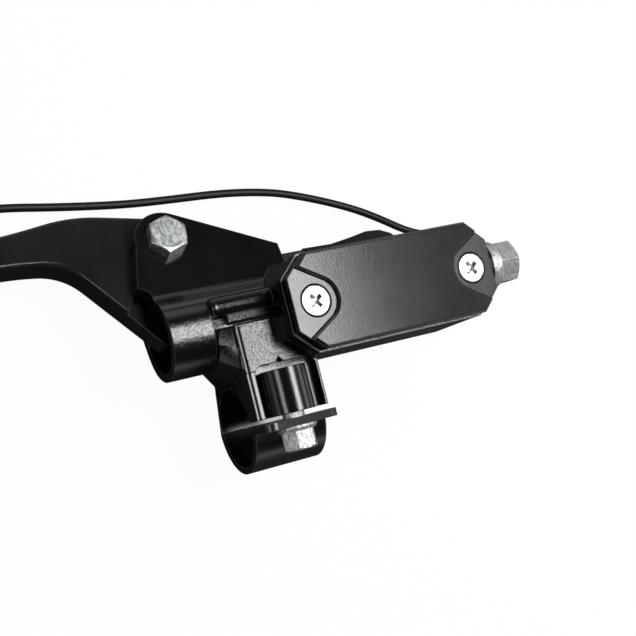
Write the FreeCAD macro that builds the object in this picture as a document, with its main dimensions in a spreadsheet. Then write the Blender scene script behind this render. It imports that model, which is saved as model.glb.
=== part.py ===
import FreeCAD, Part
import math
import os
import re
import Sketcher

V = FreeCAD.Vector

# Hydraulic brake lever for a left handlebar grip, in millimetres.
# Origin: on the handlebar's axis, at the middle of the clamp. +X runs along the handlebar away from the hand,
# +Y forward from the rider, +Z up through the reservoir's lid. The lever's plane leans forward about X.
doc = FreeCAD.newDocument("hydraulic_brake_lever")

# Driving dimensions. Each is written once here and kept in the sheet, which every form reads.
# Handlebar clamp
bar_radius = 11.1  # 22.2 mm handlebar
clamp_width = 21.4  # along the handlebar
split_gap = 1.4  # opening between arm and strap
strap_wall = 1.8  # half ring of the strap
strap_ear_thick = 2.2  # flat ears of the strap
strap_ear_margin = 4.8  # ear tip beyond the bolt's axis
strap_lower_width = 12.0  # lower ear, narrower than the clamp
strap_ear_corner = 3.0
strap_ear_overhang = 0.3  # ears stand out past the arm on the outlet side
clamp_bolt_offset = 6.1  # bolt axis beyond the handlebar's surface
clamp_bolt_x = -0.5
clamp_bolt_radius = 3.0  # M6
clamp_bolt_length = 14.0  # shank under the flange
clamp_boss_radius = 6.3  # round boss about each bolt
clamp_boss_length = 12.2  # from the split face
arm_wall_above = 5.5  # arm over the handlebar
arm_wall_below = 1.7  # and under it
pocket_depth = 3.2  # casting pocket round the upper boss
pocket_length = 14.2  # from the split face
pocket_rim = 2.4  # land left beside the pocket
pocket_rim_right = 0.7  # and on the outlet side
pocket_corner = 2.8  # round corners of the pocket
mark_width = 4.2  # triangular mark in the pocket's far wall
mark_length = 1.5
lip_width = 0.7  # bead along the arm's upper left edge
lip_groove = 0.5
lip_depth = 0.7
ridge_height = 1.6  # rib over the arm's root, above the barrel
ridge_width = 5.0
ridge_start_x = -16.5
ridge_front = 2.2  # rib's near face forward of the cylinder's axis
step_rise = 0.9  # step from the arm's face up to the rib
step_front = 0.4  # its near face behind the cylinder's axis
step_overhang = 1.6  # past the arm's left edge
web_drop = 1.3  # flared root of the arm, below the barrel's surface at its end
web_reach = 11.0  # its near edge there, behind the cylinder's axis
web_foot = 13.3  # its near end along the arm, behind the cylinder's axis

# Cylinder
cylinder_y = 27.8  # axis forward of the handlebar
cylinder_z = 5.5  # axis above the handlebar
barrel_radius = 11.3  # outside of the casting
mouth_x = -28.5  # open end, towards the lever
bore_radius = 7.0  # 14 mm bore
mouth_radius = 9.0  # wide mouth ahead of the bore
mouth_floor_x = -4.5  # end of the wide mouth
bore_end_x = 68.0  # closed end of the bore
neck_length = 15.5  # outlet neck
neck_radius = 8.6
outlet_wall = 2.6  # between the bore's end and the outlet's thread
outlet_thread_radius = 5.0  # M10
outlet_thread_depth = 6.4  # from the outlet face
outlet_drill_radius = 2.5  # passage to the thread
outlet_offset = 1.7  # outlet forward of the cylinder's axis

# Reservoir and lid
reservoir_x = 33.3  # middle of the lid
lid_top = 31.0  # raised panel's face
lid_length = 63.5
lid_width = 26.2
lid_chamfer_x = 6.2
lid_chamfer_y = 6.0
lid_pad_thick = 2.3  # at the end pads
lid_step = 1.5  # raised panel above the pads
lid_bevel = 0.7  # outer edge
lid_screw_spacing = 50.0
pad_arc_radius = 6.6  # edge of the pad round the screw
pad_tangent_angle = 58.5  # where the straight edges leave the arc
gasket_thick = 0.8  # rim of the diaphragm
diaphragm_depth = 4.5  # cup below the rim
diaphragm_wall = 0.9
rim_margin = 0.5  # casting's rim beyond the lid
rim_height = 4.0  # straight wall below the gasket
tub_foot_z = 11.0  # where the reservoir's walls end in the barrel
tub_foot_length = 52.0  # walls lean in at the ends
tub_foot_width = 29.4  # and out a little at the sides
tub_keel_z = 3.0  # underside runs down to the barrel
tub_keel_length = 44.0
tub_keel_width = 18.0
gusset_draft = 0.8  # wall between reservoir and ear, its foot beyond its top
cavity_length = 40.0  # between the screw bosses
cavity_width = 20.6
cavity_floor_z = 18.6
cavity_corner = 4.0
compensating_port_radius = 0.6
compensating_port_x = 39.0
intake_port_radius = 1.6
intake_port_x = 20.0

# Lever ears and lever, in the lever's own plane: x, v across it from the cylinder's axis, w up from it
lever_tilt = 16.6  # lever plane leans forward, degrees
pivot_x = -19.4
pivot_v = 26.1
pivot_radius = 3.0  # M6
ear_boss_radius = 8.6
ear_top_w = 7.0
ear_thick = 4.4
ear_fillet = 3.5  # hollow round from the ear up to the barrel
slot_floor_x = -7.5  # closed end of the slot
web_thick = 4.5  # wall behind the slot
ear_end_x = 12.2  # outlet end of the upper ear
ear_end_v = 19.0  # front corner of that end
hook_x = -31.6  # corner of the ears beyond the cylinder's mouth
hook_v = 13.6
hook_drop = 2.2  # lower edge from the corner back to the mouth
lever_thick = 9.0
lever_boss_radius = 9.6
heel_radius = 4.0  # rounded heel that works the switch
heel_x = 4.0  # from the pivot
heel_v = -10.0  # from the pivot
nose_radius = 4.2  # push lug's nose
nose_x = -24.2
nose_v = 2.1
lug_step = 2.0  # push lug below the lever's face
lug_step_x = -30.3  # inner corner of the step
lug_step_v = 15.4
lever_edge_round = 0.8
neck_station_x = -62.0  # where the blade is narrowest
neck_station_v = 33.1
blade_width = 8.6
knuckle_run = 24.5  # front edge from the boss to the knuckle
knuckle_angle = 12.0  # its lean, degrees
knuckle_x = -46.6  # rear edge turns down to the push lug here
knuckle_v = 26.85
neck_front_x = -58.5  # front edge past the knuckle
mid_station_x = -105.0
mid_station_v = 30.6
tip_station_x = -150.0
tip_station_v = 33.0
ball_x = -166.0  # round end of the blade
ball_v = 35.5
ball_radius = 7.0

# Fasteners
hex_flats = 10.0  # M6 heads and nut
hex_head = 4.0  # height of an M6 head
nut_height = 6.0  # locknut
pivot_washer_thick = 1.2
pivot_washer_radius = 6.0
flange_radius = 5.6  # flange of the clamp bolts
clamp_flats = 8.4  # their hexagon
flange_thick = 1.3
clamp_head = 5.2  # hex above the flange
screw_head_radius = 4.1  # countersunk lid screw
screw_land = 0.1  # left of the pad under the head
screw_radius = 2.0  # M4
screw_length = 12.0
cross_width = 1.1  # cross recess
cross_length = 4.2
cross_depth = 1.9
outlet_flats = 12.0
outlet_head = 7.2
outlet_collar_radius = 7.2
outlet_collar = 2.6
outlet_washer_thick = 1.5
outlet_washer_radius = 7.4

# Pieces in the bore
rod_radius = 4.0  # pushed end of the piston
piston_waist_radius = 4.6
piston_land = 3.0
piston_length = 36.0  # shoulder to head
secondary_groove = 4.0
cup_length = 5.0
cup_wall = 1.3
spring_wire_radius = 0.6
spring_side_gap = 0.35  # inside the cup
spring_turns = 6.0
stop_washer_thick = 1.0
circlip_thick = 1.1
circlip_width = 1.7
circlip_gap_angle = 60.0
groove_depth = 0.6  # circlip groove beyond the mouth's wall
dust_seal_length = 3.0

# Brake-light switch and its lead
switch_drop = 9.6  # plunger's axis behind the pivot
switch_thread_radius = 3.6
switch_collar_radius = 4.6
switch_collar = 2.5
switch_radius = 2.9
switch_length = 24.0  # behind the collar
plunger_radius = 1.7
plunger_reach = 11.5  # plunger's length
plunger_travel = 3.2
boot_length = 31.0  # rubber tail
boot_bulb_radius = 4.9
boot_end_radius = 1.9
lead_radius = 1.2
coil_x = -76.0
coil_y = 90.0
coil_z = -18.0
coil_radius = 13.5  # middle of the coiled turns
coil_section = 2.6  # bundle of turns
tie_width = 4.0
tie_thick = 0.9
connector_length = 14.0
connector_width = 9.0
connector_height = 6.0
connector_pin = 2.2  # square socket
connector_pitch = 4.2

# Fits and clearances
running = 0.05  # radial, shafts and pistons that move
seated = 0.05  # radial, threads and seats that stay
lever_side_gap = 0.3  # each face of the lever to its ear
bolt_play = 0.2  # clamp bolts in the strap
seat_play = 0.3  # round the clamp bolts' flanges
push_gap = 0.3  # free play between nose and piston, heel and plunger
clip_play = 0.1  # circlip along its groove, and to the stop washer

# Sizes that follow from those above
strap_ear_reach = bar_radius + clamp_bolt_offset + strap_ear_margin
clamp_bolt_height = bar_radius + clamp_bolt_offset
arm_top = bar_radius + arm_wall_above
arm_bottom = bar_radius + arm_wall_below
outlet_x = bore_end_x + outlet_wall + outlet_thread_depth
neck_x = outlet_x - neck_length
lid_thick = lid_pad_thick + lid_step
screw_head_height = lid_pad_thick - screw_land
slot_height = lever_thick + 2 * lever_side_gap
spring_radius = bore_radius - running - cup_wall - spring_side_gap - spring_wire_radius
circlip_x = mouth_floor_x - stop_washer_thick - circlip_thick - 2 * clip_play

# The sheet holds each of the sizes above in a cell with its name as alias
sizes = {name: number for name, number in globals().items() if isinstance(number, float)}
sheet = doc.addObject("Spreadsheet::Sheet", "Sizes")
for row, (name, number) in enumerate(sizes.items(), 1):
    sheet.set("A%d" % row, str(number))
    sheet.setAlias("A%d" % row, name)
doc.recompute()


def value(expression):
    """Value of an expression in the driving dimensions."""
    return float(sheet.evalExpression(bound(expression)))


def bound(expression):
    """An expression with each driving dimension's word pointed at the sheet."""
    return re.sub(r"[a-z][a-z0-9_]*", lambda word: ("Sizes." if word.group(0) in sizes else "") + word.group(0),
                  expression)


def bind(thing, **fields):
    """Bind the fields of an object to expressions in the driving dimensions."""
    for field, expression in fields.items():
        thing.setExpression(field, bound(expression))


def place(thing, at, turn=""):
    """Bind an object's placement: at is three expressions, turn a rotation expression."""
    spin = turn or "rotationx(0)"
    thing.setExpression("Placement", bound("placement(vector(%s; %s; %s); %s)" % (*at, spin)))


def block(name, at, length, width, height, turn=""):
    box = doc.addObject("Part::Box", name)
    bind(box, Length=length, Width=width, Height=height)
    place(box, at, turn)
    return box


def rod(name, at, radius, height, turn=""):
    cylinder = doc.addObject("Part::Cylinder", name)
    bind(cylinder, Radius=radius, Height=height)
    place(cylinder, at, turn)
    return cylinder


def cone(name, at, radius1, radius2, height, turn=""):
    taper = doc.addObject("Part::Cone", name)
    bind(taper, Radius1=radius1, Radius2=radius2, Height=height)
    place(taper, at, turn)
    return taper


def fuse(name, *shapes):
    joined = doc.addObject("Part::MultiFuse", name)
    joined.Shapes = list(shapes)
    joined.Refine = True
    return joined


def cut(name, base, tool):
    rest = doc.addObject("Part::Cut", name)
    rest.Base = base
    rest.Tool = tool
    rest.Refine = True
    return rest


def common(name, first, second):
    shared = doc.addObject("Part::Common", name)
    shared.Base = first
    shared.Tool = second
    return shared


def group(name, *shapes):
    together = doc.addObject("Part::Compound", name)
    together.Links = list(shapes)
    return together


def sketch_on(body, name, plane):
    """An empty sketch on one of the body's own origin planes."""
    sketch = body.newObject("Sketcher::SketchObject", name)
    support = [feature for feature in body.Origin.OriginFeatures if feature.Role == plane][0]
    sketch.AttachmentSupport = [(support, "")]
    sketch.MapMode = "FlatFace"
    return sketch


def outline(sketch, points):
    """A closed line through points given as pairs of expressions, each bound by two distances from the origin."""
    spots = [V(value(across), value(up), 0) for across, up in points]
    last = len(spots) - 1
    first = sketch.GeometryCount
    for i, spot in enumerate(spots):
        sketch.addGeometry(Part.LineSegment(spot, spots[0 if i == last else i + 1]), False)
    for i in range(len(spots)):
        after = first if i == last else first + i + 1
        sketch.addConstraint(Sketcher.Constraint("Coincident", first + i, 2, after, 1))
    for i, (across, up) in enumerate(points):
        here = sketch.addConstraint(Sketcher.Constraint("DistanceX", -1, 1, first + i, 1, spots[i].x))
        sketch.setExpression("Constraints[%d]" % here, bound(across))
        here = sketch.addConstraint(Sketcher.Constraint("DistanceY", -1, 1, first + i, 1, spots[i].y))
        sketch.setExpression("Constraints[%d]" % here, bound(up))


def plate(name, points, thick, at=("0", "0", "0"), turn="", plane="XY_Plane"):
    """A flat piece: an outline padded by its thickness along the sketch's normal."""
    body = doc.addObject("PartDesign::Body", name)
    sketch = sketch_on(body, name + "_outline", plane)
    outline(sketch, points)
    pad = body.newObject("PartDesign::Pad", name + "_pad")
    pad.Profile = sketch
    bind(pad, Length=thick)
    place(body, at, turn)
    return body


def turned(name, profile, at=("0", "0", "0"), turn=""):
    """A turned piece: a profile of distances along the axis and radii, revolved about the body's X axis."""
    body = doc.addObject("PartDesign::Body", name)
    sketch = sketch_on(body, name + "_profile", "XY_Plane")
    outline(sketch, profile)
    revolution = body.newObject("PartDesign::Revolution", name + "_turn")
    revolution.Profile = sketch
    revolution.ReferenceAxis = (sketch, ["H_Axis"])
    revolution.Angle = 360
    place(body, at, turn)
    return body


def hexagon(name, at, flats, height, turn=""):
    """A hexagon bar across its flats, with the usual turned chamfer at its far end."""
    bar = doc.addObject("Part::Prism", name + "_bar")
    bar.Polygon = 6
    bind(bar, Circumradius="(%s) / (2 * cos(30 deg))" % flats, Height=height)
    place(bar, at, turn)
    crown = cone(name + "_crown", at, "0.47 * (%s) + (%s) / tan(30 deg)" % (flats, height), "0.47 * (%s)" % flats,
                 height, turn)
    return common(name, bar, crown)


def octagon(length, width, cut_x, cut_y):
    """The lid's outline: a rectangle about the middle of the lid with its corners cut."""
    half_x = "(%s) / 2" % length
    half_y = "(%s) / 2" % width
    inner_x = "((%s) / 2 - (%s))" % (length, cut_x)
    inner_y = "((%s) / 2 - (%s))" % (width, cut_y)
    quarter = [(half_x, inner_y), (inner_x, half_y)]
    points = []
    for across, up in quarter:
        points.append((across, up))
    for across, up in reversed(quarter):
        points.append(("-" + across, up))
    for across, up in quarter:
        points.append(("-" + across, "-" + up))
    for across, up in reversed(quarter):
        points.append((across, "-" + up))
    return points


def lever_at(x, v, w):
    """A place in the lever's plane: x, v across the plane from the cylinder's axis, w up from it."""
    ahead = "cylinder_y + (%s) * cos(lever_tilt * 1 deg) + (%s) * sin(lever_tilt * 1 deg)" % (v, w)
    above = "cylinder_z - (%s) * sin(lever_tilt * 1 deg) + (%s) * cos(lever_tilt * 1 deg)" % (v, w)
    return x, ahead, above


def edges_where(thing, test):
    """Numbers of the edges whose middle, ends and length pass the test."""
    chosen = []
    for number, edge in enumerate(thing.Shape.Edges, 1):
        middle = edge.valueAt((edge.FirstParameter + edge.LastParameter) / 2)
        if test(edge, middle):
            chosen.append(number)
    return chosen


def rounded(name, base, radius, test):
    """Rounds of one radius on the edges that pass the test."""
    doc.recompute()
    soft = doc.addObject("Part::Fillet", name)
    soft.Base = base
    soft.Edges = [(number, value(radius), value(radius)) for number in edges_where(base, test)]
    return soft


IN_LEVER_PLANE = "rotationx(-lever_tilt)"
ALONG_X = "rotationy(90)"
ALONG_Y = "rotationx(-90)"
ALONG_MINUS_Y = "rotationx(90)"
LEVER_ALONG_X = "rotationx(-lever_tilt) * rotationy(90)"
AXIS = ("0", "cylinder_y", "cylinder_z")

# Heights that follow from the sizes
LID_UNDER = "(lid_top - lid_thick)"
PAD_TOP = "(lid_top - lid_step)"
RIM_TOP = "(lid_top - lid_thick - gasket_thick)"
EAR_UNDER = "(ear_top_w - ear_thick)"
SLOT_FLOOR = "(ear_top_w - ear_thick - slot_height)"
EAR_BOTTOM = "(ear_top_w - 2 * ear_thick - slot_height)"
LEVER_LOW = "(ear_top_w - ear_thick - slot_height + lever_side_gap)"
LEVER_HIGH = "(ear_top_w - ear_thick - lever_side_gap)"
WEB_END = "(slot_floor_x + web_thick)"
SPLIT = "(split_gap / 2)"
STRAP_FACE = "(-split_gap / 2 - strap_ear_thick)"
SCREW_LEFT = "(reservoir_x - lid_screw_spacing / 2)"
SCREW_RIGHT = "(reservoir_x + lid_screw_spacing / 2)"
SWITCH_V = "(pivot_v - switch_drop)"
SWITCH_W = "(ear_top_w - ear_thick - slot_height / 2)"
SWITCH_AT = lever_at("0", SWITCH_V, SWITCH_W)

# The casting: barrel, outlet neck, reservoir, ears and clamp arm in one piece
barrel = turned("barrel", [
    ("mouth_x", "0"),
    ("mouth_x", "barrel_radius"),
    ("neck_x", "barrel_radius"),
    ("neck_x + (barrel_radius - neck_radius)", "neck_radius"),
    ("neck_x + (barrel_radius - neck_radius)", "0")], AXIS)
OUTLET_AXIS = ("0", "cylinder_y + outlet_offset", "cylinder_z")
neck = turned("neck", [
    ("neck_x - 4", "0"),
    ("neck_x - 4", "neck_radius"),
    ("outlet_x", "neck_radius"),
    ("outlet_x", "0")], OUTLET_AXIS)

tub = doc.addObject("PartDesign::Body", "tub")
tub_sections = []
for level, length, width, name in (
        ("tub_keel_z", "tub_keel_length", "tub_keel_width", "tub_keel"),
        ("tub_foot_z", "tub_foot_length", "tub_foot_width", "tub_foot"),
        (RIM_TOP + " - rim_height", "lid_length + 2 * rim_margin", "lid_width + 2 * rim_margin", "tub_rim")):
    section = sketch_on(tub, name, "XY_Plane")
    section.setExpression("AttachmentOffset.Base.z", bound(level))
    outline(section, octagon(length, width, "lid_chamfer_x", "lid_chamfer_y"))
    tub_sections.append(section)
doc.recompute()
walls = tub.newObject("PartDesign::AdditiveLoft", "tub_walls")
walls.Profile = tub_sections[0]
walls.Sections = tub_sections[1:]
walls.Ruled = True
place(tub, ("reservoir_x", "cylinder_y", "0"))

rim = plate("rim", octagon("lid_length + 2 * rim_margin", "lid_width + 2 * rim_margin", "lid_chamfer_x",
                           "lid_chamfer_y"),
            "rim_height", ("reservoir_x", "cylinder_y", RIM_TOP + " - rim_height"))

# Ears: the front edge runs straight from the outlet end's corner and meets the boss at a tangent
TO_BOSS = "atan2(ear_end_v - pivot_v; ear_end_x - pivot_x)"
BOSS_REACH = "hypot(ear_end_v - pivot_v; ear_end_x - pivot_x)"
TOUCH = "(%s + acos(ear_boss_radius / %s))" % (TO_BOSS, BOSS_REACH)
TOUCH_X = "(pivot_x + ear_boss_radius * cos(%s))" % TOUCH
TOUCH_V = "(pivot_v + ear_boss_radius * sin(%s))" % TOUCH
FRONT_AT_WEB = "(ear_end_v + (%s - ear_end_v) * (%s - ear_end_x) / (%s - ear_end_x))" % (TOUCH_V, WEB_END, TOUCH_X)

upper_ear = plate("upper_ear", [
    ("mouth_x", "0"),
    ("ear_end_x", "0"),
    ("ear_end_x", "ear_end_v"),
    (TOUCH_X, TOUCH_V),
    ("pivot_x - ear_boss_radius", "pivot_v"),
    ("hook_x", "hook_v"),
    ("mouth_x", "hook_v - hook_drop")], "ear_thick", lever_at("0", "0", EAR_UNDER), IN_LEVER_PLANE)
ear_block = plate("ear_block", [
    ("mouth_x", "0"),
    (WEB_END, "0"),
    (WEB_END, FRONT_AT_WEB),
    (TOUCH_X, TOUCH_V),
    ("pivot_x - ear_boss_radius", "pivot_v"),
    ("hook_x", "hook_v"),
    ("mouth_x", "hook_v - hook_drop")], "2 * ear_thick + slot_height", lever_at("0", "0", EAR_BOTTOM),
    IN_LEVER_PLANE)
ear_boss = rod("ear_boss", lever_at("pivot_x", "pivot_v", EAR_BOTTOM), "ear_boss_radius",
               "2 * ear_thick + slot_height", IN_LEVER_PLANE)

# Hollow round between the upper ear's face and the barrel
FILLET_V = "sqrt((barrel_radius + ear_fillet)^2 - (ear_top_w + ear_fillet)^2)"
FILLET_W = "((ear_top_w + ear_fillet) * barrel_radius / (barrel_radius + ear_fillet))"
fillet_stock = block("fillet_stock", lever_at("mouth_x", "%s / 2" % FILLET_V, "ear_top_w - 1"),
                     "ear_end_x - mouth_x", "%s / 2" % FILLET_V, "%s - ear_top_w + 1" % FILLET_W, IN_LEVER_PLANE)
fillet_tool = rod("fillet_tool", lever_at("mouth_x - 1", FILLET_V, "ear_top_w + ear_fillet"), "ear_fillet",
                  "ear_end_x - mouth_x + 2", LEVER_ALONG_X)
ear_root = cut("ear_root", fillet_stock, fillet_tool)

# Clamp arm with a round boss about each bolt
arm = plate("arm", [
    ("-" + SPLIT, "0"),
    ("-" + SPLIT, "-arm_bottom"),
    ("cylinder_y - barrel_radius / 2", "cylinder_z - barrel_radius"),
    ("cylinder_y", "cylinder_z - barrel_radius / 2"),
    ("cylinder_y", "arm_top"),
    (SPLIT, "arm_top"),
    (SPLIT, "0")], "clamp_width", ("-clamp_width / 2", "0", "0"), "", "YZ_Plane")
boss_upper = rod("boss_upper", ("clamp_bolt_x", SPLIT, "clamp_bolt_height"), "clamp_boss_radius",
                 "clamp_boss_length", ALONG_Y)
boss_lower = rod("boss_lower", ("clamp_bolt_x", "-" + SPLIT, "-clamp_bolt_height"), "clamp_boss_radius",
                 "clamp_boss_length + split_gap", ALONG_Y)
RIDGE_RADIUS = "(ridge_width / 2 + 0.5)"
ridge = rounded("ridge", rod("ridge_stock", ("ridge_start_x", "cylinder_y + ridge_front + ridge_width / 2",
                                             "cylinder_z + barrel_radius + ridge_height - " + RIDGE_RADIUS),
                             RIDGE_RADIUS, "reservoir_x - lid_length / 4 - ridge_start_x", ALONG_X),
                "ridge_width / 3", lambda edge, middle: edge.BoundBox.XMax < value("ridge_start_x") + 0.1)
root_step_stock = block("root_step_stock", ("-clamp_width / 2 - step_overhang", "cylinder_y - step_front", "cylinder_z"),
                        "clamp_width / 2 + step_overhang + reservoir_x - lid_length / 4",
                        "step_front + ridge_front", "arm_top + step_rise - cylinder_z")
root_step = rounded("root_step", root_step_stock, "step_rise * 0.9",
                    lambda edge, middle: edge.BoundBox.XLength > 1 and middle.z > value("arm_top")
                    and middle.y < value("cylinder_y"))

# Flared root: the arm's left side spreads along the barrel as far as the rib's end
web = doc.addObject("PartDesign::Body", "web")
web_sections = []
for level, name, points in (
        ("ridge_start_x", "web_collar", [
            ("cylinder_y", "cylinder_z + barrel_radius - web_drop"),
            ("cylinder_y - barrel_radius * 0.42", "cylinder_z + barrel_radius * 0.9 - web_drop"),
            ("cylinder_y - barrel_radius * 0.76", "cylinder_z + barrel_radius * 0.64 - web_drop"),
            ("cylinder_y - web_reach", "cylinder_z"),
            ("cylinder_y - web_reach", "cylinder_z - barrel_radius * 0.5"),
            ("cylinder_y", "cylinder_z - barrel_radius * 0.5")]),
        ("-clamp_width / 2 + 0.5", "web_arm", [
            ("cylinder_y", "arm_top - 0.1"),
            ("cylinder_y - web_foot / 2", "arm_top - 0.1"),
            ("cylinder_y - web_foot", "arm_top - 0.1"),
            ("cylinder_y - web_foot - 3", "cylinder_z"),
            ("cylinder_y - web_foot - 4", "cylinder_z - barrel_radius"),
            ("cylinder_y", "cylinder_z - barrel_radius * 0.9")])):
    section = sketch_on(web, name, "YZ_Plane")
    section.setExpression("AttachmentOffset.Base.z", bound(level))
    outline(section, points)
    web_sections.append(section)
doc.recompute()
flare = web.newObject("PartDesign::AdditiveLoft", "web_flare")
flare.Profile = web_sections[0]
flare.Sections = web_sections[1:]
flare.Ruled = True
web_room = common("web_room", cut("web_ring", rod("web_ring_outer", ("ridge_start_x", "cylinder_y", "cylinder_z"),
                                                  "barrel_radius + 2", "-clamp_width / 2 - ridge_start_x", ALONG_X),
                                  rod("web_ring_inner", ("ridge_start_x - 1", "cylinder_y", "cylinder_z"),
                                      "barrel_radius - web_drop", "clamp_width", ALONG_X)),
                  block("web_side", ("ridge_start_x", "cylinder_y - 2 * barrel_radius", "cylinder_z - ridge_front"),
                        "clamp_width", "2 * barrel_radius + ridge_front", "2 * barrel_radius"))

# Wall from the reservoir's left front corner down to the ear
gusset = doc.addObject("PartDesign::Body", "gusset")
gusset_sections = []
for level, spread, name in ((RIM_TOP + " - rim_height - 0.4", "0", "gusset_top"), ("cylinder_z", "gusset_draft",
                                                                                   "gusset_foot")):
    LEFT = "(reservoir_x - lid_length / 2 - %s)" % spread
    FRONT = "(cylinder_y + lid_width / 2 + %s)" % spread
    section = sketch_on(gusset, name, "XY_Plane")
    section.setExpression("AttachmentOffset.Base.z", bound(level))
    outline(section, [
        (LEFT, "cylinder_y + ridge_front"),
        (LEFT, FRONT + " - lid_chamfer_y"),
        (LEFT + " + lid_chamfer_x", FRONT),
        ("ear_end_x", FRONT),
        ("ear_end_x", "cylinder_y + ridge_front")])
    gusset_sections.append(section)
doc.recompute()
gusset_wall = gusset.newObject("PartDesign::AdditiveLoft", "gusset_wall")
gusset_wall.Profile = gusset_sections[0]
gusset_wall.Sections = gusset_sections[1:]
gusset_wall.Ruled = True
pocket_stock = block("pocket_stock", ("-clamp_width / 2 + pocket_rim", "-1", "arm_top - pocket_depth"),
                     "clamp_width - pocket_rim - pocket_rim_right", "pocket_length + 1 + split_gap / 2",
                     "pocket_depth + 20")
pocket = rounded("pocket", pocket_stock, "pocket_corner",
                 lambda edge, middle: middle.y > value("pocket_length") and edge.BoundBox.ZLength > 10)
mark = plate("mark", [
    ("clamp_bolt_x - mark_width / 2", SPLIT + " + pocket_length - 1"),
    ("clamp_bolt_x + mark_width / 2", SPLIT + " + pocket_length - 1"),
    ("clamp_bolt_x", SPLIT + " + pocket_length + mark_length")], "pocket_depth + 20",
    ("0", "0", "arm_top - pocket_depth"))
lip_cut = block("lip_cut", ("-clamp_width / 2 + lip_width", "-1", "arm_top - lip_depth"), "lip_groove",
                "cylinder_y - step_front", "lip_depth + 1")

# Hollows of the casting
cavity_stock = block("cavity_stock", ("reservoir_x - cavity_length / 2", "cylinder_y - cavity_width / 2",
                                      "cavity_floor_z"),
                     "cavity_length", "cavity_width", RIM_TOP + " - cavity_floor_z + 1")
cavity = rounded("cavity", cavity_stock, "cavity_corner",
                 lambda edge, middle: edge.BoundBox.XLength + edge.BoundBox.YLength < 0.01)
bore = turned("bore", [
    ("mouth_x - 1", "0"),
    ("mouth_x - 1", "mouth_radius"),
    ("circlip_x", "mouth_radius"),
    ("circlip_x", "mouth_radius + groove_depth"),
    ("circlip_x + circlip_thick + clip_play", "mouth_radius + groove_depth"),
    ("circlip_x + circlip_thick + clip_play", "mouth_radius"),
    ("mouth_floor_x", "mouth_radius"),
    ("mouth_floor_x", "bore_radius"),
    ("bore_end_x", "bore_radius"),
    ("bore_end_x", "0")], AXIS)
outlet_port = turned("outlet_port", [
    ("bore_end_x - 1", "0"),
    ("bore_end_x - 1", "outlet_drill_radius"),
    ("outlet_x - outlet_thread_depth", "outlet_drill_radius"),
    ("outlet_x - outlet_thread_depth", "outlet_thread_radius"),
    ("outlet_x + 1", "outlet_thread_radius"),
    ("outlet_x + 1", "0")], OUTLET_AXIS)
slot = block("slot", lever_at("mouth_x - 5", "0", SLOT_FLOOR), "slot_floor_x - mouth_x + 5",
             "pivot_v + 3 * ear_boss_radius", "slot_height", IN_LEVER_PLANE)
bar_bore = rod("bar_bore", ("-clamp_width", "0", "0"), "bar_radius", "2 * clamp_width", ALONG_X)
pivot_hole = rod("pivot_hole", lever_at("pivot_x", "pivot_v", EAR_BOTTOM + " - 1"), "pivot_radius + running",
                 "2 * ear_thick + slot_height + 2", IN_LEVER_PLANE)
switch_hole = rod("switch_hole", lever_at("slot_floor_x - 1", SWITCH_V, SWITCH_W), "switch_thread_radius + seated",
                  "web_thick + 2", LEVER_ALONG_X)
hole_upper = rod("hole_upper", ("clamp_bolt_x", "0", "clamp_bolt_height"), "clamp_bolt_radius + seated",
                 "clamp_bolt_length", ALONG_Y)
hole_lower = rod("hole_lower", ("clamp_bolt_x", "-split_gap", "-clamp_bolt_height"), "clamp_bolt_radius + seated",
                 "clamp_bolt_length", ALONG_Y)
screw_hole_left = rod("screw_hole_left", (SCREW_LEFT, "cylinder_y", PAD_TOP + " - screw_length - 0.5"),
                      "screw_radius + seated", "screw_length + 1")
screw_hole_right = rod("screw_hole_right", (SCREW_RIGHT, "cylinder_y", PAD_TOP + " - screw_length - 0.5"),
                       "screw_radius + seated", "screw_length + 1")
compensating_port = rod("compensating_port", ("compensating_port_x", "cylinder_y", "cylinder_z"),
                        "compensating_port_radius", "cavity_floor_z - cylinder_z + 1")
intake_port = rod("intake_port", ("intake_port_x", "cylinder_y", "cylinder_z"), "intake_port_radius",
                  "cavity_floor_z - cylinder_z + 1")

arm_with_pocket = cut("arm_with_pocket", arm, fuse("arm_cuts", pocket, mark))
forms = fuse("forms", cut("grooved_barrel", barrel, web_room), neck, tub, rim, gusset, upper_ear, ear_block,
             ear_boss, ear_root, arm_with_pocket, boss_upper, boss_lower, ridge, root_step, web)
hollows = fuse("hollows", cavity, bore, outlet_port, lip_cut, slot, bar_bore, pivot_hole, switch_hole, hole_upper, hole_lower,
               screw_hole_left, screw_hole_right, compensating_port, intake_port)
master_cylinder_body = cut("master_cylinder_body", forms, hollows)

# Lid: a flat plate with cut corners, a raised middle panel and a lower pad round each screw
lid = doc.addObject("PartDesign::Body", "lid")
lid_outline = sketch_on(lid, "lid_outline", "XY_Plane")
outline(lid_outline, octagon("lid_length", "lid_width", "lid_chamfer_x", "lid_chamfer_y"))
lid_pad = lid.newObject("PartDesign::Pad", "lid_pad")
lid_pad.Profile = lid_outline
bind(lid_pad, Length="lid_thick")
place(lid, ("reservoir_x", "cylinder_y", LID_UNDER))
doc.recompute()
lid_edge = lid.newObject("PartDesign::Chamfer", "lid_edge")
top_faces = [i for i, face in enumerate(lid_pad.Shape.Faces, 1) if face.BoundBox.ZMin > value("lid_thick") - 0.01]
lid_edge.Base = (lid_pad, ["Face%d" % i for i in top_faces])
bind(lid_edge, Size="lid_bevel")
PAD_X = "(lid_screw_spacing / 2 - pad_arc_radius * cos(pad_tangent_angle * 1 deg))"
PAD_Y = "(pad_arc_radius * sin(pad_tangent_angle * 1 deg))"
FLARE_X = "(%s + lid_width / 2 * sin(pad_tangent_angle * 1 deg))" % PAD_X
FLARE_Y = "(%s + lid_width / 2 * cos(pad_tangent_angle * 1 deg))" % PAD_Y
pads = []
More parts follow.
